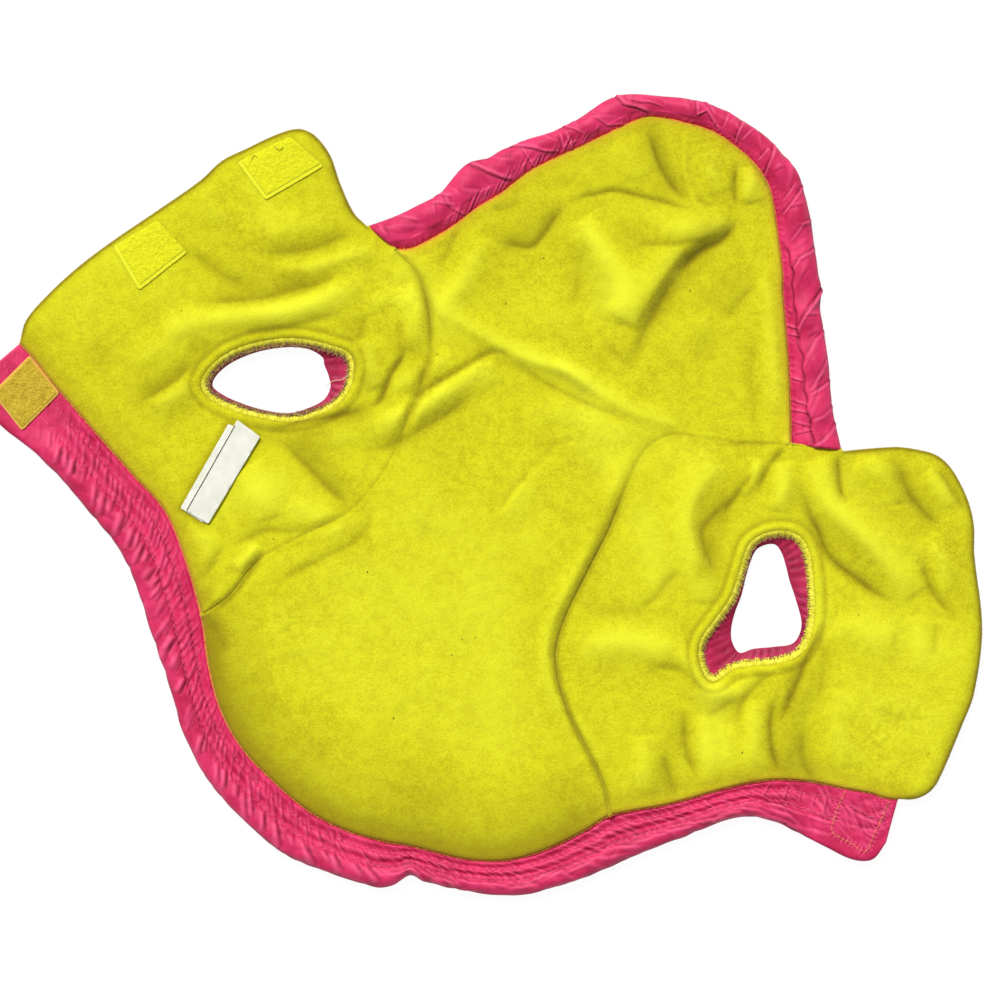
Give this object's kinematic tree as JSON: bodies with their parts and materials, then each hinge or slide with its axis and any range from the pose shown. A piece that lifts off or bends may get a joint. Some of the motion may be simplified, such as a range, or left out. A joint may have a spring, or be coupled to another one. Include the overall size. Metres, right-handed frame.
{
  "type": "dog puffer coat",
  "caption": "Dog's puffer coat laid open flat, fleece lining up, with chest flaps with cuffed leg holes, a channel-stitched collar, a gathered tail hem and hook and loop patches.",
  "frame": {"origin": "Centre of the bounding box in plan, at the surface that the coat lies on.", "axes": "The coat lies with its fleece up and +Z away from the surface. +X runs to the right and +Y up in the pictured view, so the neck is at -Y and the tail at +Y."},
  "size_m": [0.4996, 0.4, 0.0166],
  "materials": {
    "pink_nylon": "glossy woven nylon",
    "yellow_fleece": "brushed fleece",
    "yellow_loop_tape": "loop pile",
    "gold_loop_tape": "loop pile",
    "yellow_hook_tape": "hook tape",
    "white_satin": "woven satin"
  },
  "bodies": {
    "root": {"back_shell": "pink_nylon", "left_chest_shell": "pink_nylon", "right_chest_shell": "pink_nylon", "back_lining": "yellow_fleece", "left_chest_lining": "yellow_fleece", "right_chest_lining": "yellow_fleece", "collar": "pink_nylon", "tail_hem": "pink_nylon", "left_leg_cuff": "pink_nylon", "right_leg_cuff": "pink_nylon", "flap_loop_neck": "yellow_loop_tape", "flap_loop_belly": "yellow_loop_tape", "collar_loop": "gold_loop_tape", "flap_hook_neck": "yellow_hook_tape", "flap_hook_belly": "yellow_hook_tape", "collar_hook": "yellow_hook_tape", "care_label": "white_satin"}
  },
  "joints": []
}
